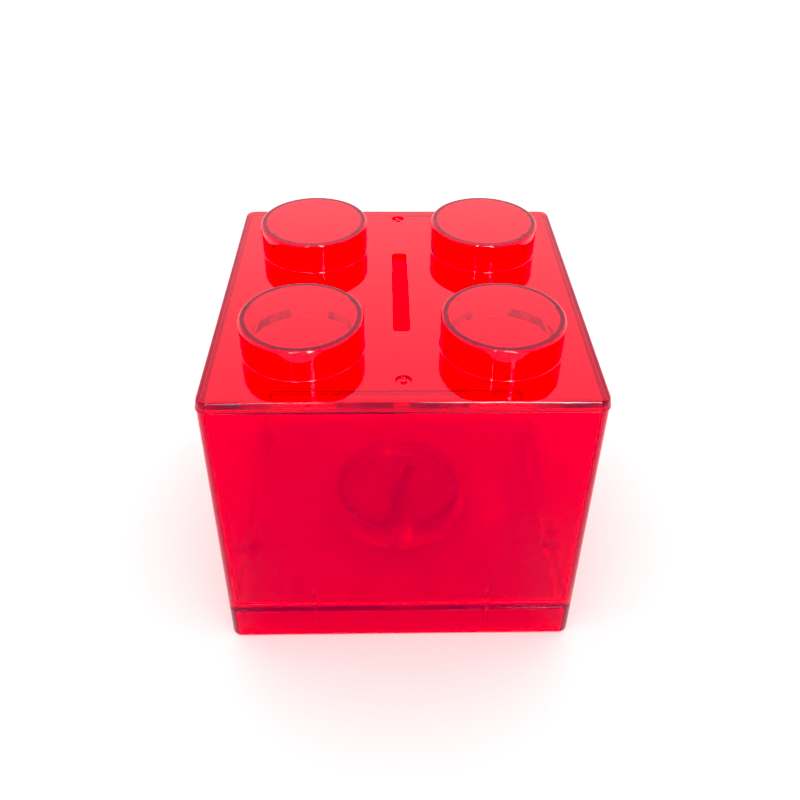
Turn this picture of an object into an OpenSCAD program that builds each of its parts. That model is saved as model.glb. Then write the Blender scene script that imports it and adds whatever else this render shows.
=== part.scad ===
// Collection box shaped like a studded building block, in clear coloured plastic.
// Origin: centre of the face it stands on. +X right, -Y front, +Z up, millimetres.

/* [Box] */
// Width and depth over the walls
body_w = 100; // [96:1:130]
// Height to the tops of the studs
total_h = 98.2; // [80:0.1:140]
// Thickness of the walls and of the skirt
wall_t = 2.2; // [2:0.1:2.6]
// Radius of the upright corners
corner_r = 3; // [2.8:0.1:5]

/* [Cover] */
// Height of the studs above the deck
stud_h = 9; // [5:0.1:12]
// Diameter of a stud
stud_d = 32; // [24:0.5:34]
// Distance between stud centres, both ways
stud_pitch = 51.5; // [46:0.1:54]
// Thickness of a stud's side and top
stud_t = 1.8; // [1.6:0.1:2.6]
// Radius round the rim of a stud
stud_edge_r = 0.8; // [0.4:0.1:1.2]
// Thickness of the deck
deck_t = 2.2; // [1.8:0.1:2.3]
// Height of the lip that hangs over the walls
lip_h = 3.1; // [3:0.1:5]
// How far the foot of the lip stands proud of the walls
lip_proud = 0.35; // [0.3:0.05:1]
// How far the lip leans in between its foot and its top edge
lip_taper = 0.5; // [0:0.05:0.6]
// Radius along the top edge of the lip
lip_edge_r = 0.7; // [0.4:0.1:1.5]

/* [Coin slot] */
// Length of the slot, front to back
slot_l = 41; // [34:0.1:44]
// Width of the slot
slot_w = 4.2; // [4.2:0.1:6]
// Radius of the slot's corners
slot_corner_r = 1; // [0.4:0.1:1.5]
// How far the middle of the slot lies behind the middle of the cover
slot_y = 0.5; // [-1:0.1:1]

/* [Gate marks] */
// Diameter of the shallow dimple round a gate mark
gate_d = 3.8; // [2:0.1:5]
// Depth of the dimple
gate_depth = 0.6; // [0.2:0.1:1]
// Diameter of the nub left in the dimple
gate_nub_d = 1.4; // [0.8:0.1:1.8]
// Height of the nub
gate_nub_h = 0.4; // [0.1:0.1:0.6]
// Distance of the front gate mark from the middle of the deck
gate_front = 41.1; // [38:0.1:44]
// Distance of the rear gate mark from the middle of the deck
gate_rear = 43.8; // [38:0.1:44]

/* [Base] */
// Height of the joint between base and walls
base_h = 11.8; // [10:0.1:16]
// Thickness of the floor plate
floor_t = 2.2; // [1.8:0.1:3]
// Height of the lap between base and walls
base_lap = 1.7; // [0.8:0.1:3]
// Diameter of the emptying hole
hole_d = 41; // [36:0.5:48]
// Distance of a locating rib from the middle of its wall
rib_x = 25; // [18:0.5:35]
// Thickness of a locating rib
rib_t = 1.2; // [0.8:0.1:2]
// How far a rib reaches inwards from the wall
rib_reach = 3.2; // [2:0.1:5]
// Height of a rib above the floor plate
rib_up = 6.2; // [3:0.1:10]
// Depth of the gusset under the floor plate
rib_down = 7.6; // [4:0.1:7.8]

/* [Stopper] */
// Diameter of the flange that stays under the floor plate
flange_d = 46.5; // [44:0.5:54]
// Thickness of the flange
flange_t = 1.5; // [1.2:0.1:2.2]
// Height of the plug ring above the flange
ring_h = 4.8; // [3.5:0.1:7]
// Wall of the plug ring
ring_t = 1.5; // [1.2:0.1:2.2]
// Radial gap between the sealing beads and the hole
bead_gap = 0.05; // [0.02:0.01:0.1]
// Height of a sealing bead above the ring's wall
bead_h = 0.3; // [0.2:0.05:0.5]
// Length of the grip bar
grip_l = 31; // [24:0.5:36]
// Thickness of the grip bar
grip_t = 4; // [3:0.1:6]
// Depth of the grip bar below the flange
grip_h = 5.2; // [3:0.1:6]
// Turn of the grip bar from front-to-back, far end to the right
grip_turn = 14; // [0:0.1:90]
// Width of the fingernail tab on the flange
tab_w = 3.3; // [2:0.1:6]
// How far the tab stands out from the flange
tab_l = 1.4; // [0.8:0.1:2.5]
// Turn of the tab from the front
tab_turn = -4; // [-45:1:45]

/* [Hidden] */
$fn = 96;
eps = 0.01;
// Gap left at the bonded lap joints
lap_gap = 0.05;
// Height of the lap between cover and walls, and thickness of each lap's tongue
cover_lap = lip_h - deck_t;
tongue_t = wall_t / 2;
inner_w = body_w - 2 * wall_t;
inner_r = corner_r - wall_t;
tongue_w = inner_w + 2 * tongue_t;
tongue_r = inner_r + tongue_t;
cover_w = body_w + 2 * lip_proud;
cover_r = corner_r + lip_proud;
deck_z = total_h - stud_h;
lip_z = deck_z - lip_h;
floor_z = base_h - floor_t;
// Top of the stopper's flange, just under the floor plate
flange_z = floor_z - 0.1;
bead_r = hole_d / 2 - bead_gap;
ring_r = bead_r - bead_h;
plastic = [0.86, 0.02, 0.10, 0.75];

// A square of side w with corners of radius r
module rounded_square(w, r) {
    square([w - 2 * r, w], center = true);
    square([w, w - 2 * r], center = true);
    for (x = [-1, 1], y = [-1, 1])
        translate([x, y] * (w / 2 - r)) circle(r);
}

// An upright slab with rounded corners, standing at height z
module slab(w, r, z, h) {
    translate([0, 0, z]) linear_extrude(h) rounded_square(w, r);
}

// Half the section of an upright edge, which leans in and ends in a quarter round of radius e
module edge_section(r, h, e, taper = 0) {
    top = r - taper;
    polygon([[0, 0], [r, 0], [top, h - e], [top - e, h - e], [top - e, h], [0, h]]);
    translate([top - e, h - e]) intersection() {
        circle(e);
        square(e);
    }
}

// A slab whose sides lean in and whose top edge is rounded too
module soft_slab(w, r, z, h, e, taper) {
    flat = w - 2 * r;
    translate([0, 0, z]) {
        translate([-flat / 2, -flat / 2, 0]) cube([flat, flat, h]);
        for (turn = [0:90:270]) rotate(turn) {
            translate([flat / 2, flat / 2, 0]) rotate_extrude() edge_section(r, h, e, taper);
            translate([flat / 2, 0, 0]) rotate([90, 0, 0])
                linear_extrude(flat, center = true) edge_section(r, h, e, taper);
        }
    }
}

// Calls its children at the four stud centres
module at_studs() {
    for (x = [-1, 1], y = [-1, 1])
        translate([x * stud_pitch / 2, y * stud_pitch / 2, 0]) children();
}

// The outside of a stud, sunk a little into the deck
module stud_outside() {
    top = stud_h + deck_t / 2;
    translate([0, 0, deck_z - deck_t / 2])
        rotate_extrude() edge_section(stud_d / 2, top, stud_edge_r);
}

// The hollow under a stud, open to the inside of the box
module stud_hollow() {
    translate([0, 0, deck_z - deck_t - eps])
        cylinder(d = stud_d - 2 * stud_t, h = deck_t + stud_h - stud_t + eps);
}

// The slot, cut right through the deck
module coin_slot() {
    r = slot_corner_r;
    translate([0, slot_y, deck_z - deck_t - 1]) linear_extrude(deck_t + 2) {
        square([slot_w - 2 * r, slot_l], center = true);
        square([slot_w, slot_l - 2 * r], center = true);
        for (x = [-1, 1], y = [-1, 1])
            translate([x * (slot_w / 2 - r), y * (slot_l / 2 - r)]) circle(r);
    }
}

// A dimple with a small nub standing in it
module gate_mark() {
    translate([0, 0, deck_z - gate_depth]) difference() {
        cylinder(d = gate_d, h = gate_depth + 1);
        translate([0, 0, -eps]) cylinder(d = gate_nub_d, h = gate_nub_h + eps);
    }
}

module cover() {
    color(plastic) difference() {
        union() {
            soft_slab(cover_w, cover_r, lip_z, lip_h, lip_edge_r, lip_taper);
            at_studs() stud_outside();
        }
        slab(tongue_w + 2 * lap_gap, tongue_r + lap_gap, lip_z - 1, cover_lap + 1);
        at_studs() stud_hollow();
        coin_slot();
        for (y = [-gate_front, gate_rear]) translate([0, y, 0]) gate_mark();
    }
}

module walls() {
    color(plastic) difference() {
        union() {
            slab(body_w, corner_r, base_h, lip_z - base_h);
            slab(tongue_w, tongue_r, base_h, lip_z - base_h + cover_lap - lap_gap);
        }
        slab(inner_w, inner_r, base_h - 1, total_h);
        slab(tongue_w + 2 * lap_gap, tongue_r + lap_gap, base_h - 1, base_lap + 1);
    }
}

// One thin rib: a lead-in slope above the floor plate and a gusset under it
module locating_rib() {
    edge = inner_w / 2 - lap_gap;
    outline = [
        [edge - rib_reach, floor_z + eps],
        [edge - rib_reach, base_h + 1],
        [edge - rib_t, base_h + rib_up],
        [edge, base_h + rib_up],
        [edge, floor_z + eps],
        [inner_w / 2 + eps, floor_z + eps],
        [inner_w / 2 + eps, floor_z - rib_down],
    ];
    rotate([90, 0, 0]) linear_extrude(rib_t, center = true) polygon(outline);
}

module base() {
    color(plastic) difference() {
        union() {
            difference() {
                slab(body_w, corner_r, 0, base_h);
                slab(inner_w, inner_r, -1, floor_z + 1);
            }
            difference() {
                slab(tongue_w, tongue_r, base_h - eps, base_lap - lap_gap + eps);
                slab(inner_w, inner_r, base_h - 1, base_lap + 2);
            }
            for (turn = [0:90:270], side = [-1, 1])
                rotate(turn) translate([0, side * rib_x, 0]) locating_rib();
        }
        translate([0, 0, floor_z - 1]) cylinder(d = hole_d, h = floor_t + 2);
    }
}

// The bar under the flange, with round ends
module grip_bar() {
    half = (grip_l - grip_t) / 2;
    bar_z = flange_z - flange_t - grip_h;
    rotate(-grip_turn) translate([0, 0, bar_z]) {
        translate([-grip_t / 2, -half, 0]) cube([grip_t, 2 * half, grip_h + eps]);
        for (side = [-1, 1])
            translate([0, side * half, 0]) cylinder(d = grip_t, h = grip_h + eps);
    }
}

// Half of the plug's section: flange, ring with a lead-in, and two sealing beads
module plug_section() {
    top = flange_t + ring_h;
    square([flange_d / 2, flange_t]);
    difference() {
        polygon([[0, 0], [ring_r, 0], [ring_r, top - 0.8], [ring_r - 0.6, top], [0, top]]);
        translate([-1, flange_t]) square([ring_r - ring_t + 1, ring_h + 1]);
    }
    for (up = [0.8, 1.8])
        translate([ring_r, flange_t + up]) circle(bead_h);
}

module stopper() {
    color(plastic) {
        translate([0, 0, flange_z - flange_t]) rotate_extrude() plug_section();
        grip_bar();
        rotate(tab_turn) translate([-tab_w / 2, -flange_d / 2 - tab_l, flange_z - flange_t])
            cube([tab_w, tab_l + 2, flange_t - 0.2]);
    }
}

cover();
walls();
base();
stopper();
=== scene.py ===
# %% [markdown]
# A clear red plastic collection box, dressed for a studio picture.
# The packed model gives the four mouldings, their places and the one joint. They could be rendered as
# they come, but see-through plastic shows every facet, so each moulding is made again here with true
# fillets and smooth shading, in exactly the same place, and stands for its plain CAD node.

# %% Load the packed model
import math

import bmesh
import bpy
from mathutils import Matrix, Quaternion, Vector


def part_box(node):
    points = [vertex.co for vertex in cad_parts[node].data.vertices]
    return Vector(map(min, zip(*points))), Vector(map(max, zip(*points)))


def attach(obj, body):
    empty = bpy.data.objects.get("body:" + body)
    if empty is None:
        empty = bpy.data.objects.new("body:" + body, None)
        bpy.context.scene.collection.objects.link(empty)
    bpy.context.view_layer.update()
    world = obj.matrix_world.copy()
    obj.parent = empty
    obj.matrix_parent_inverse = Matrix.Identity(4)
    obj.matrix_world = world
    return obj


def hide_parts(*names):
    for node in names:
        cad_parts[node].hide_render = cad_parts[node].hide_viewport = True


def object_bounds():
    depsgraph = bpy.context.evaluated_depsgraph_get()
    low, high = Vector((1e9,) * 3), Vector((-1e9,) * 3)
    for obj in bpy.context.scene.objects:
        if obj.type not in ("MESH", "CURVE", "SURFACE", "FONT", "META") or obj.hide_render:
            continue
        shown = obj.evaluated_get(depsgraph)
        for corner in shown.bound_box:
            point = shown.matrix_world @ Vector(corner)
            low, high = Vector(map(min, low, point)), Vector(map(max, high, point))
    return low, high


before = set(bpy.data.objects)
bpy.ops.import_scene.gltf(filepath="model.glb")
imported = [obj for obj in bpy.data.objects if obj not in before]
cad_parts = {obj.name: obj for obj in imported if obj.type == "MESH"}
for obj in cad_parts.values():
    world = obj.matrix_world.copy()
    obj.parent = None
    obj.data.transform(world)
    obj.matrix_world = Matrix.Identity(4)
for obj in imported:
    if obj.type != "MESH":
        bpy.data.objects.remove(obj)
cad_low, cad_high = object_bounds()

MM = 0.001
print("box of the packed model, mm:", [round(v / MM, 1) for v in (*cad_low, *cad_high)])

# %% [markdown]
# The camera stands some 15 cm in front of the box and looks down at it, as someone bends over a table.
# A camera can be aimed with a Track To constraint, but then its slight roll has to be added on top.
# Three turns in a row say the same thing plainly: tilt down, turn a little, roll a little. A small
# vertical shift frames the box without tilting the camera further, so the uprights keep their lean.

# %% Camera
camera_data = bpy.data.cameras.new("camera")
camera_data.lens = 37.89
camera_data.sensor_width = 36.0
camera_data.shift_x = -0.0011
camera_data.shift_y = -0.0761
camera_data.clip_start = 0.01
camera = bpy.data.objects.new("camera", camera_data)
camera.location = Vector((-5.02, -203.28, 217.23)) * MM
TILT, TURN, ROLL = (math.radians(a) for a in (90 - 35.49, -1.5, 0.68))
aim = Quaternion((0, 0, 1), TURN) @ Quaternion((1, 0, 0), TILT) @ Quaternion((0, 0, 1), ROLL)
camera.rotation_euler = aim.to_euler()
bpy.context.scene.collection.objects.link(camera)
bpy.context.scene.camera = camera
to_middle = (cad_low + cad_high) / 2 - camera.location
print("camera distance to the box's middle, mm:", round(to_middle.length / MM))

# %% [markdown]
# The box stands on a white table in bright, even light. Lamps alone would leave black gaps in every
# reflection, because clear plastic mirrors whatever surrounds it. A white world does the lighting here,
# and two tall strip lamps, which show in the gloss only, draw the crisp highlights along the rims. The
# Standard view transform keeps the dye as strong as it is, where a filmic one would wash a pure red out.
# A digital camera loses the last trace of green in so deep a red, and the colour curve does the same.

# %% World, table and lamps
LIGHT_BOUNCES = 48
TABLE_BOUNCES = 6
ROOM_LIGHT = 1.34
DARKEST = (0.0, 0.045, 0.015)
BRIGHTEST = (0.78, 1.0, 1.0)
TABLE_HALF = 3.0
TABLE_DROP = 0.1
TABLE_WHITE = 0.92
LAMP_AIM_Z = 50
STRIP_H = 1000

scene = bpy.context.scene
scene.view_settings.view_transform = "Standard"
scene.view_settings.use_curve_mapping = True
scene.view_settings.curve_mapping.black_level = DARKEST
scene.view_settings.curve_mapping.white_level = BRIGHTEST
scene.cycles.max_bounces = LIGHT_BOUNCES
scene.cycles.transmission_bounces = LIGHT_BOUNCES
scene.cycles.glossy_bounces = LIGHT_BOUNCES
scene.cycles.diffuse_bounces = TABLE_BOUNCES
world = bpy.data.worlds.new("white_room")
world.use_nodes = True
scene.world = world
room = world.node_tree.nodes["Background"]
room.inputs["Color"].default_value = (1.0, 1.0, 1.0, 1.0)
room.inputs["Strength"].default_value = ROOM_LIGHT

table_mesh = bpy.data.meshes.new("table")
bm = bmesh.new()
under_box = Matrix.Translation((0, 0, -TABLE_DROP * MM))
bmesh.ops.create_grid(bm, x_segments=1, y_segments=1, size=TABLE_HALF, matrix=under_box)
bm.to_mesh(table_mesh)
bm.free()
table = bpy.data.objects.new("table", table_mesh)
scene.collection.objects.link(table)

table_finish = bpy.data.materials.new("white_table")
table_finish.use_nodes = True
paint = table_finish.node_tree.nodes["Principled BSDF"]
paint.inputs["Base Color"].default_value = (TABLE_WHITE, TABLE_WHITE, TABLE_WHITE, 1.0)
paint.inputs["Roughness"].default_value = 0.6
table.data.materials.append(table_finish)


def strip_lamp(name, place, width, height, power):
    """A tall lamp at place, in mm, that faces the middle of the box and shows in its gloss only."""
    data = bpy.data.lights.new(name, "AREA")
    data.shape = "RECTANGLE"
    data.size = width * MM
    data.size_y = height * MM
    data.energy = power
    lamp = bpy.data.objects.new(name, data)
    lamp.location = Vector(place) * MM
    towards = Vector((0, 0, LAMP_AIM_Z * MM)) - lamp.location
    lamp.rotation_euler = towards.to_track_quat("-Z", "Y").to_euler()
    lamp.visible_diffuse = False
    scene.collection.objects.link(lamp)


strip_lamp("right_lamp", (200, -640, 820), 120, STRIP_H, 8)
strip_lamp("left_lamp", (-205, -640, 820), 40, STRIP_H, 2.6)

# %% [markdown]
# Every outline of the mouldings is a run of straight stretches with rounded corners. The points of each
# arc could be typed in, but one helper can put them there: it takes the sharp corners with a radius each
# and returns the finished outline, so a shape is described by the few numbers a toolmaker would use.

# %% Outlines with rounded corners
ARC_STEPS = 5


def rounded(corners, closed=False):
    """Points of the outline through corners (x, z, radius), with an arc at each corner that has one."""
    points = []
    count = len(corners)
    for i, (x, z, radius) in enumerate(corners):
        here = Vector((x, z))
        if radius == 0 or (not closed and i in (0, count - 1)):
            points.append(here)
            continue
        back = (Vector(corners[i - 1][:2]) - here).normalized()
        ahead = (Vector(corners[(i + 1) % count][:2]) - here).normalized()
        half = back.angle(ahead) / 2
        start = here + back * radius / math.tan(half)
        centre = here + (back + ahead).normalized() * radius / math.sin(half)
        sweep = back.angle_signed(ahead)
        turn = math.copysign(math.pi - abs(sweep), sweep)
        spoke = start - centre
        for step in range(ARC_STEPS + 1):
            a = turn * step / ARC_STEPS
            points.append(centre + Matrix.Rotation(a, 2) @ spoke)
    return points


print("a square corner becomes", len(rounded([(0, 0, 0), (5, 0, 1), (5, 5, 0)])), "points")

# %% [markdown]
# The mouldings are square tubes and plates with round features. A tube could be a cube with an inset, but
# its section has small steps where the parts lap. So the section is drawn once and carried round the box
# like a router cutter: along a straight side, then a quarter spin at the corner, four times. Every layer
# shares the same corner centres, as in a real mould. Round features are the same section, spun once.

# %% Sections carried round the box, turned features and flat fills
CORNER = 47.0
CORNER_STEPS = 8
ROUND_STEPS = 96
SAME_PLACE = 0.0005 * MM


def drawn(bm, outline, place, closed=False):
    """Draws the (x, z) outline as an upright section, standing at place."""
    verts = [bm.verts.new(place + Vector((x, 0, z)) * MM) for x, z in outline]
    pairs = list(zip(verts, verts[1:]))
    if closed:
        pairs.append((verts[-1], verts[0]))
    return verts + [bm.edges.new(pair) for pair in pairs]


def carried_round(bm, outline, closed=False, spread=(CORNER, CORNER), middle=(0, 0)):
    """Carries the (reach, z) outline round a rectangle whose corner centres lie spread mm from middle."""
    sx, sy = spread
    middle = Vector((*middle, 0))
    section = drawn(bm, outline, (middle + Vector((0, -sy, 0))) * MM, closed)
    last = (middle + Vector((sx, -sy, 0))) * MM
    for x, y in ((sx, sy), (-sx, sy), (-sx, -sy), (sx, -sy)):
        corner = (middle + Vector((x, y, 0))) * MM
        edges = [e for e in section if isinstance(e, bmesh.types.BMEdge)]
        side = bmesh.ops.extrude_edge_only(bm, edges=edges)["geom"]
        moved = [v for v in side if isinstance(v, bmesh.types.BMVert)]
        bmesh.ops.translate(bm, verts=moved, vec=corner - last)
        section = bmesh.ops.spin(
            bm,
            geom=[g for g in side if not isinstance(g, bmesh.types.BMFace)],
            cent=corner,
            axis=(0, 0, 1),
            angle=math.pi / 2,
            steps=CORNER_STEPS,
        )["geom_last"]
        last = corner
    bmesh.ops.remove_doubles(bm, verts=bm.verts, dist=SAME_PLACE)


def turned(bm, outline, centre=(0, 0)):
    """Spins the (radius, z) outline round an upright axis at centre."""
    axis_at = Vector((*centre, 0)) * MM
    bmesh.ops.spin(
        bm,
        geom=drawn(bm, outline, axis_at),
        cent=axis_at,
        axis=(0, 0, 1),
        angle=math.tau,
        steps=ROUND_STEPS,
        use_merge=True,
    )
    bmesh.ops.remove_doubles(bm, verts=bm.verts, dist=SAME_PLACE)


def fill_flat(bm, z):
    """Fills the level face at height z between the open rims that lie there, holes left open."""
    rims = [
        e for e in bm.edges if e.is_boundary and all(abs(v.co.z - z * MM) < SAME_PLACE for v in e.verts)
    ]
    bmesh.ops.triangle_fill(bm, edges=rims, use_beauty=True, normal=(0, 0, 1))


def united(bm, extras):
    """Adds the closed solids in extras to bm with exact booleans, so no skin is left inside the plastic."""
    body_mesh = bpy.data.meshes.new("body")
    bm.to_mesh(body_mesh)
    body_object = bpy.data.objects.new("body", body_mesh)
    scene.collection.objects.link(body_object)
    added = []
    for extra in extras:
        bmesh.ops.recalc_face_normals(extra, faces=extra.faces)
        mesh = bpy.data.meshes.new("extra")
        extra.to_mesh(mesh)
        extra.free()
        added.append(bpy.data.objects.new("extra", mesh))
        scene.collection.objects.link(added[-1])
        join = body_object.modifiers.new("join", "BOOLEAN")
        join.operation = "UNION"
        join.solver = "EXACT"
        join.object = added[-1]
    joined = body_object.evaluated_get(bpy.context.evaluated_depsgraph_get())
    bm.clear()
    bm.from_mesh(joined.data)
    for done in (body_object, *added):
        bpy.data.objects.remove(done)
    bmesh.ops.remove_doubles(bm, verts=bm.verts, dist=SAME_PLACE)


def finish_moulding(name, bm, node, body, extras=()):
    """Points the mesh's faces outwards, unites it with the extras and puts it in place of its CAD node."""
    bmesh.ops.recalc_face_normals(bm, faces=bm.faces)
    if extras:
        united(bm, extras)
    for face in bm.faces:
        face.smooth = True
    for edge in bm.edges:
        edge.smooth = edge.calc_face_angle(0) < math.radians(40)
    open_edges = sum(len(e.link_faces) != 2 for e in bm.edges)
    volume = bm.calc_volume() / MM**3
    mesh = bpy.data.meshes.new(name)
    bm.to_mesh(mesh)
    bm.free()
    piece = bpy.data.objects.new(name, mesh)
    scene.collection.objects.link(piece)
    steady = piece.modifiers.new("steady_flats", "WEIGHTED_NORMAL")
    steady.keep_sharp = True
    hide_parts(node)
    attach(piece, body)
    print(f"{name}: {len(mesh.polygons)} faces, {open_edges} open edges, {volume:.0f} mm3")
    return piece

# %% [markdown]
# The walls are a plain square tube with a lap cut into each end: a thin tongue that the cover's lip hides
# at the top, and a step that sits over the base's tongue at the bottom.

# %% Walls
wall_low, wall_high = (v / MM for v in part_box("walls"))
OUTSIDE = wall_high.x
WALL = 2.2
INSIDE = OUTSIDE - WALL
TONGUE = OUTSIDE - WALL / 2
LAP_GAP = 0.05
BASE_LAP = 1.7
LIP_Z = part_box("cover")[0].z / MM
BREAK_R = 0.15

wall_section = rounded(
    [
        (OUTSIDE, wall_low.z, BREAK_R),
        (OUTSIDE, LIP_Z, BREAK_R),
        (TONGUE, LIP_Z, 0),
        (TONGUE, wall_high.z, BREAK_R),
        (INSIDE, wall_high.z, BREAK_R),
        (INSIDE, wall_low.z + BASE_LAP, BREAK_R),
        (TONGUE + LAP_GAP, wall_low.z + BASE_LAP, 0),
        (TONGUE + LAP_GAP, wall_low.z, BREAK_R),
    ],
    closed=True,
)
bm = bmesh.new()
carried_round(bm, wall_section, closed=True)
walls = finish_moulding("wall_moulding", bm, "walls", "box")

# %% [markdown]
# The cover is one moulding: deck, lip, four studs, the coin slot and two gate marks. The lip is a section
# carried round the box, the slot a smaller one, and studs, hollows and gate marks are turned. What is
# left is the level deck between their open rims, which one fill closes above and one below.

# %% Cover
cover_low, cover_high = (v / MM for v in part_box("cover"))
EDGE = cover_high.x
LIP_LEAN = 0.62
STUD_TOP = cover_high.z
STUD_H = 9.0
DECK_T = 2.2
DECK = STUD_TOP - STUD_H
UNDERSIDE = DECK - DECK_T
STUD_R = 16.0
STUD_WALL = 1.8
STUD_AT = 25.75
SLOT_HALF_W = 2.1
SLOT_HALF_L = 20.5
SLOT_R = 1.0
SLOT_Y = 0.5
GATES_Y = (-41.1, 43.8)
GATE_R = 1.9
GATE_DEPTH = 0.6
NUB_R = 0.7
NUB_SUNK = 0.2
LEDGE = TONGUE + LAP_GAP

lip_section = rounded(
    [
        (EDGE - 2.2, DECK, 0),
        (EDGE - LIP_LEAN, DECK, 0.7),
        (EDGE, LIP_Z, 0.3),
        (LEDGE, LIP_Z, BREAK_R),
        (LEDGE, UNDERSIDE, 0),
    ]
)
stud_section = rounded(
    [(STUD_R + 0.6, DECK, 0), (STUD_R, DECK, 0.35), (STUD_R, STUD_TOP, 0.8), (0, STUD_TOP, 0)]
)
hollow_r = STUD_R - STUD_WALL
hollow_section = rounded(
    [
        (hollow_r + 0.5, UNDERSIDE, 0),
        (hollow_r, UNDERSIDE, 0.3),
        (hollow_r, STUD_TOP - STUD_WALL, 0.6),
        (0, STUD_TOP - STUD_WALL, 0),
    ]
)
slot_section = rounded(
    [
        (SLOT_HALF_W + 0.4, DECK, 0),
        (SLOT_HALF_W, DECK, 0.25),
        (SLOT_HALF_W, UNDERSIDE, 0.25),
        (SLOT_HALF_W + 0.4, UNDERSIDE, 0),
    ]
)
gate_section = rounded(
    [
        (GATE_R + 0.3, DECK, 0),
        (GATE_R, DECK, 0.15),
        (GATE_R, DECK - GATE_DEPTH, 0.3),
        (NUB_R, DECK - GATE_DEPTH, 0.15),
        (NUB_R, DECK - NUB_SUNK, 0.2),
        (0, DECK - NUB_SUNK, 0),
    ]
)

bm = bmesh.new()
carried_round(bm, lip_section)
slot_corners = (SLOT_HALF_W - SLOT_R, SLOT_HALF_L - SLOT_R)
carried_round(bm, slot_section, spread=slot_corners, middle=(0, SLOT_Y))
for x in (-STUD_AT, STUD_AT):
    for y in (-STUD_AT, STUD_AT):
        turned(bm, stud_section, (x, y))
        turned(bm, hollow_section, (x, y))
for y in GATES_Y:
    turned(bm, gate_section, (0, y))
fill_flat(bm, DECK)
fill_flat(bm, UNDERSIDE)
cover = finish_moulding("cover_moulding", bm, "cover", "box")

# %% [markdown]
# The base is a shallow tray upside down: a skirt, a floor plate with the emptying hole, and a tongue that
# stands up inside the walls. Eight thin ribs centre the walls while the glue sets, with gussets under the
# floor. They cross the tray's skin, so they are closed solids of their own, which bite a little into the
# tray and which a boolean unites with it.

# %% Base
FLOOR_TOP = wall_low.z
FLOOR_T = 2.2
FLOOR_UNDER = FLOOR_TOP - FLOOR_T
TONGUE_TOP = FLOOR_TOP + BASE_LAP - LAP_GAP
HOLE_R = 20.5
RIB_AT = 25.0
RIB_THICK = 1.2
RIB_REACH = 3.2
RIB_TIP = 1.2
GUSSET_DEPTH = 7.6
BITE_IN = 0.5
BITE_UP = 0.7
base_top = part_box("base")[1].z / MM

tray_section = rounded(
    [
        (INSIDE - 0.5, FLOOR_TOP, 0),
        (INSIDE, FLOOR_TOP, 0.2),
        (INSIDE, TONGUE_TOP, BREAK_R),
        (TONGUE, TONGUE_TOP, BREAK_R),
        (TONGUE, FLOOR_TOP, 0),
        (OUTSIDE, FLOOR_TOP, BREAK_R),
        (OUTSIDE, 0, 0.5),
        (INSIDE, 0, 0.3),
        (INSIDE, FLOOR_UNDER, 0.4),
        (INSIDE - 0.6, FLOOR_UNDER, 0),
    ]
)
hole_section = rounded(
    [
        (HOLE_R + 0.4, FLOOR_TOP, 0),
        (HOLE_R, FLOOR_TOP, 0.25),
        (HOLE_R, FLOOR_UNDER, 0.25),
        (HOLE_R + 0.4, FLOOR_UNDER, 0),
    ]
)
rib_outline = [
    (INSIDE - RIB_REACH, FLOOR_TOP - BITE_UP),
    (INSIDE - RIB_REACH, FLOOR_TOP + 1.0),
    (INSIDE - RIB_TIP, base_top),
    (INSIDE - 0.1, base_top),
    (INSIDE - 0.1, TONGUE_TOP - 0.3),
    (INSIDE + BITE_IN, TONGUE_TOP - 0.3),
    (INSIDE + BITE_IN, FLOOR_TOP - BITE_UP),
]
gusset_outline = [
    (INSIDE - RIB_REACH, FLOOR_UNDER + BITE_UP),
    (INSIDE - RIB_REACH, FLOOR_UNDER),
    (INSIDE, FLOOR_UNDER - GUSSET_DEPTH),
    (INSIDE + BITE_IN, FLOOR_UNDER - GUSSET_DEPTH),
    (INSIDE + BITE_IN, FLOOR_UNDER + BITE_UP),
]


def fin(outline, turn, aside):
    """A thin upright plate of the (reach, z) outline, aside mm from the middle of the side at turn."""
    bm = bmesh.new()
    verts = [bm.verts.new(Vector((reach, aside - RIB_THICK / 2, z)) * MM) for reach, z in outline]
    face = bm.faces.new(verts)
    grown = bmesh.ops.extrude_face_region(bm, geom=[face])["geom"]
    moved = [v for v in grown if isinstance(v, bmesh.types.BMVert)]
    bmesh.ops.translate(bm, verts=moved, vec=Vector((0, RIB_THICK, 0)) * MM)
    bmesh.ops.rotate(bm, verts=bm.verts, matrix=Matrix.Rotation(turn, 3, "Z"))
    return bm


fins = [
    fin(outline, quarter * math.pi / 2, aside)
    for quarter in range(4)
    for aside in (-RIB_AT, RIB_AT)
    for outline in (rib_outline, gusset_outline)
]
bm = bmesh.new()
carried_round(bm, tray_section)
turned(bm, hole_section)
fill_flat(bm, FLOOR_TOP)
fill_flat(bm, FLOOR_UNDER)
base = finish_moulding("base_moulding", bm, "base", "box", fins)

# %% [markdown]
# The stopper is a turned cup with a flange, two sealing beads and a lead-in at its rim. Its grip bar and
# nail tab are blocks with rounded edges. Both reach a little into the flange, where the boolean joins them.

# %% Stopper
stop_low, stop_high = (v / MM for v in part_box("stopper"))
FLANGE_R = 23.25
FLANGE_T = 1.5
FLANGE_TOP = FLOOR_UNDER - 0.1
FLANGE_UNDER = FLANGE_TOP - FLANGE_T
BEAD = 0.3
BEAD_GAP = 0.05
BEADS_UP = (0.8, 1.8)
RING_R = HOLE_R - BEAD - BEAD_GAP
RING_T = 1.5
GRIP_HALF_T = 2.0
GRIP_HALF_L = 15.5
TAB_HALF_W = 1.65
TAB_OUT = 1.4
GRIP_TURN = math.radians(-14)
TAB_TURN = math.radians(-4)

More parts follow.
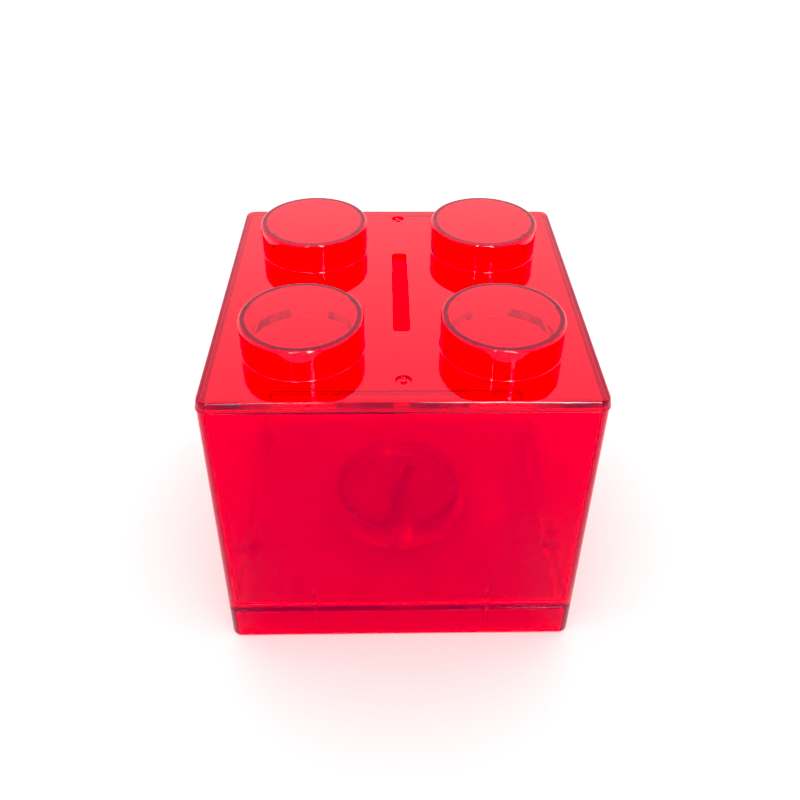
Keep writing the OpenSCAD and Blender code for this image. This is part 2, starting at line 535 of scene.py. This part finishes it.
plug_corners = [
    (0, FLANGE_UNDER, 0),
    (FLANGE_R, FLANGE_UNDER, 0.3),
    (FLANGE_R, FLANGE_TOP, 0.4),
    (RING_R, FLANGE_TOP, 0.2),
]
for z in (FLANGE_TOP + up for up in BEADS_UP):
    plug_corners += [(RING_R, z - BEAD, 0), (RING_R + BEAD, z, 0.15), (RING_R, z + BEAD, 0)]
plug_corners += [
    (RING_R, stop_high.z - 0.8, 0.2),
    (RING_R - 0.6, stop_high.z, 0.15),
    (RING_R - RING_T, stop_high.z, 0.2),
    (RING_R - RING_T, FLANGE_TOP, 0.6),
    (0, FLANGE_TOP, 0),
]


def block(low, high, upright_r, edge_r, turn):
    """A block between two corners with rounded uprights and rounded lower edges, turned about the axis."""
    bm = bmesh.new()
    size = Vector(high) - Vector(low)
    middle = (Vector(high) + Vector(low)) / 2
    shape = Matrix.Translation(middle * MM) @ Matrix.Diagonal((*(size * MM), 1))
    bmesh.ops.create_cube(bm, size=1, matrix=shape)
    uprights = [e for e in bm.edges if abs(e.verts[0].co.z - e.verts[1].co.z) > SAME_PLACE]
    round_off = {"offset_type": "OFFSET", "profile": 0.5, "affect": "EDGES", "material": -1}
    bmesh.ops.bevel(bm, geom=uprights, offset=upright_r * MM, segments=10, **round_off)
    bottom = low[2] * MM
    lower = [e for e in bm.edges if all(abs(v.co.z - bottom) < SAME_PLACE for v in e.verts)]
    bmesh.ops.bevel(bm, geom=lower, offset=edge_r * MM, segments=4, **round_off)
    bmesh.ops.rotate(bm, verts=bm.verts, matrix=Matrix.Rotation(turn, 3, "Z"))
    return bm


grip_low = (-GRIP_HALF_T, -GRIP_HALF_L, stop_low.z)
grip_high = (GRIP_HALF_T, GRIP_HALF_L, FLANGE_UNDER + 0.4)
grip_bar = block(grip_low, grip_high, 1.95, 0.7, GRIP_TURN)
tab_low = (-TAB_HALF_W, -FLANGE_R - TAB_OUT, FLANGE_UNDER)
tab_high = (TAB_HALF_W, -FLANGE_R + 1, FLANGE_UNDER + 1.3)
nail_tab = block(tab_low, tab_high, 0.4, 0.25, TAB_TURN)
bm = bmesh.new()
turned(bm, rounded(plug_corners))
stopper = finish_moulding("stopper_moulding", bm, "stopper", "stopper", (grip_bar, nail_tab))

# %% [markdown]
# Node trees are hard to read as text, so shader sums are written as Python expressions here. One small
# class wraps a socket: the usual operators add Math nodes, and its node method adds anything else.

# %% Shader maths
class Term:
    """A socket of a node tree. Operators on it add Math nodes, and node() adds a node of any kind."""

    def __init__(self, socket):
        self.socket = socket

    def node(self, kind, settings=None, sockets=None, output=0):
        """Adds a node: its settings first, then the values or links of its sockets."""
        tree = self.socket.id_data
        made = tree.nodes.new(kind)
        for name, value in (settings or {}).items():
            if name == "stops":
                ramp = made.color_ramp.elements
                while len(ramp) < len(value):
                    ramp.new(1.0)
                for stop, (place, level) in zip(ramp, value):
                    stop.position = place
                    stop.color = (level, level, level, 1.0)
            else:
                setattr(made, name, value)
        for name, value in (sockets or {}).items():
            if isinstance(value, Term):
                tree.links.new(value.socket, made.inputs[name])
            else:
                made.inputs[name].default_value = value
        return Term(made.outputs[output])

    def sum(self, operation, first, second):
        return self.node("ShaderNodeMath", {"operation": operation}, {0: first, 1: second})

    def __add__(self, other):
        return self.sum("ADD", self, other)

    def __sub__(self, other):
        return self.sum("SUBTRACT", self, other)

    def __rsub__(self, other):
        return self.sum("SUBTRACT", other, self)

    def __mul__(self, other):
        return self.sum("MULTIPLY", self, other)

    __radd__ = __add__
    __rmul__ = __mul__


print("shader maths ready:", ", ".join(n for n in vars(Term) if n.startswith("__r")))

# %% [markdown]
# The dye is in the plastic, so thin walls look light and edges look deep. A tinted glass shader alone
# would give both the same red. Here the surface is tinted and the solid also absorbs light by the
# millimetre, which Volume Absorption does exactly on closed meshes. Handling shows as soft smears and fine
# hairlines in the gloss, and the melt's flow as a very slight waviness. Two places stay dark on the real
# plastic although the room is bright: the ring over each stud's side, and the lap where walls and base
# are joined. Absorption alone leaves both too light, so a painted shade darkens the colour of both by
# their place, in Object coordinates, which keeps the painted shade still when the camera moves.

# %% Clear red plastic
PLASTIC_IOR = 1.5
DYED = (1.0, 0.06, 0.3, 1.0)
SMEARED = (0.97, 0.06, 0.29, 1.0)
DYE_GREEN = 0.0
DYE_BLUE = 0.35
DYE_DENSITY = 1615.0
SHADE = (0.04, 0.03, 0.04, 1.0)
LAP_SHADE = 0.85
SMEAR_SCALE = 38
HAIRLINE_SCALE = 90
WAVE_SCALE = 60


def ramp_up(value, low, high):
    """0 below low, 1 above high, both in mm, and a straight slope between them."""
    limits = {"Value": value, "From Min": low * MM, "From Max": high * MM}
    return value.node("ShaderNodeMapRange", {}, limits)


def from_middle(place):
    """The distances across and along from the box's axis, and the height."""
    x, y, z = (place.node("ShaderNodeSeparateXYZ", {}, {"Vector": place}, output=i) for i in range(3))
    across, along = (v.node("ShaderNodeMath", {"operation": "ABSOLUTE"}, {0: v}) for v in (x, y))
    return across, along, z


def stud_rim_painted_shade(place):
    """1 on the level ring over each stud's side: the mask of a painted shade, where the eye looks down the
    length of the plastic.
    """
    across, along, z = from_middle(place)
    across, along = across - STUD_AT * MM, along - STUD_AT * MM
    squared = across * across + along * along
    reach = squared.node("ShaderNodeMath", {"operation": "SQRT"}, {0: squared})
    ring = ramp_up(reach, hollow_r - 0.1, hollow_r + 0.1) * (1 - ramp_up(reach, STUD_R - 0.7, STUD_R - 0.4))
    return ring * ramp_up(z, STUD_TOP - 0.3, STUD_TOP - 0.1)


def lap_painted_shade(place):
    """1 at the foot of the base's tongue, where walls and base are joined: the mask of a painted shade where
    little light comes through.
    """
    across, along, z = from_middle(place)
    reach = place.node("ShaderNodeMath", {"operation": "MAXIMUM"}, {0: across, 1: along})
    foot = ramp_up(z, FLOOR_TOP - 0.3, FLOOR_TOP) * (1 - ramp_up(z, FLOOR_TOP + 0.4, FLOOR_TOP + 0.8))
    return LAP_SHADE * ramp_up(reach, INSIDE - 0.2, INSIDE + 0.1) * foot


def clear_plastic(name, clarity, gloss, smear, hairline, wave, mirror, shaded=None):
    """Dyed plastic: clarity in red, base roughness, depths of its marks and waves, colour of its gloss, and
    shaded, the mask of a painted shade in its colour.
    """
    material = bpy.data.materials.new(name)
    material.use_nodes = True
    tree = material.node_tree
    shader = tree.nodes["Principled BSDF"]
    constants = {
        "Transmission Weight": 1.0,
        "IOR": PLASTIC_IOR,
        "Specular Tint": (*mirror, 1.0),
    }
    for socket, value in constants.items():
        shader.inputs[socket].default_value = value
    place = Term(tree.nodes.new("ShaderNodeTexCoord").outputs["Object"])

    def noise(scale, detail, stretch=(1, 1, 1), turn=(0, 0, 0)):
        spot = place.node("ShaderNodeMapping", {}, {"Vector": place, "Scale": stretch, "Rotation": turn})
        return place.node("ShaderNodeTexNoise", {}, {"Vector": spot, "Scale": scale, "Detail": detail})

    def above(value, low, high):
        return value.node("ShaderNodeValToRGB", {"stops": [(low, 0), (high, 1)]}, {"Fac": value})

    def blended(share, first, second):
        return share.node("ShaderNodeMix", {"data_type": "RGBA"}, {0: share, 6: first, 7: second}, output=2)

    smears = above(noise(SMEAR_SCALE, 3), 0.42, 0.7)
    one_way = noise(HAIRLINE_SCALE, 1, (1, 14, 1), (0, 0, 0.5))
    other_way = noise(HAIRLINE_SCALE, 1, (12, 1, 5), (0.3, 0, -0.4))
    hairlines = above(one_way * other_way, 0.36, 0.42)
    relief = wave * noise(WAVE_SCALE, 1) + 0.02 * hairline * hairlines
    varying = {
        "Roughness": gloss + smear * smears + 0.5 * hairline * hairlines,
        "Normal": relief.node("ShaderNodeBump", {}, {"Height": relief, "Strength": 1.0, "Distance": 0.001}),
        "Base Color": blended(0.5 * smears, DYED, SMEARED),
    }
    if shaded:
        # painted shade: where the mask is 1, the colour darkens to SHADE
        varying["Base Color"] = blended(shaded(place), varying["Base Color"], SHADE)
    for socket, term in varying.items():
        tree.links.new(term.socket, shader.inputs[socket])
    deep_red = (clarity, DYE_GREEN, DYE_BLUE, 1.0)
    dye = place.node("ShaderNodeVolumeAbsorption", {}, {"Color": deep_red, "Density": DYE_DENSITY})
    tree.links.new(dye.socket, tree.nodes["Material Output"].inputs["Volume"])
    return material


COVER_GLOSS = (1.0, 1.0, 1.0)
WALL_GLOSS = (1.0, 0.6, 0.8)
# The last entries of the cover and the base are the masks of their painted shade.
LOOKS = {
    cover: ("cover_plastic", 0.9945, 0.02, 0.02, 0.05, 0.001, COVER_GLOSS, stud_rim_painted_shade),
    walls: ("wall_plastic", 0.999, 0.10, 0.04, 0.05, 0.002, WALL_GLOSS),
    base: ("base_plastic", 0.993, 0.06, 0.04, 0.05, 0.002, WALL_GLOSS, lap_painted_shade),
    stopper: ("stopper_plastic", 0.975, 0.08, 0.05, 0.05, 0.002, WALL_GLOSS),
}
for piece, look in LOOKS.items():
    piece.data.materials.append(clear_plastic(*look))
print("finishes:", ", ".join(look[0] for look in LOOKS.values()))

# %% [markdown]
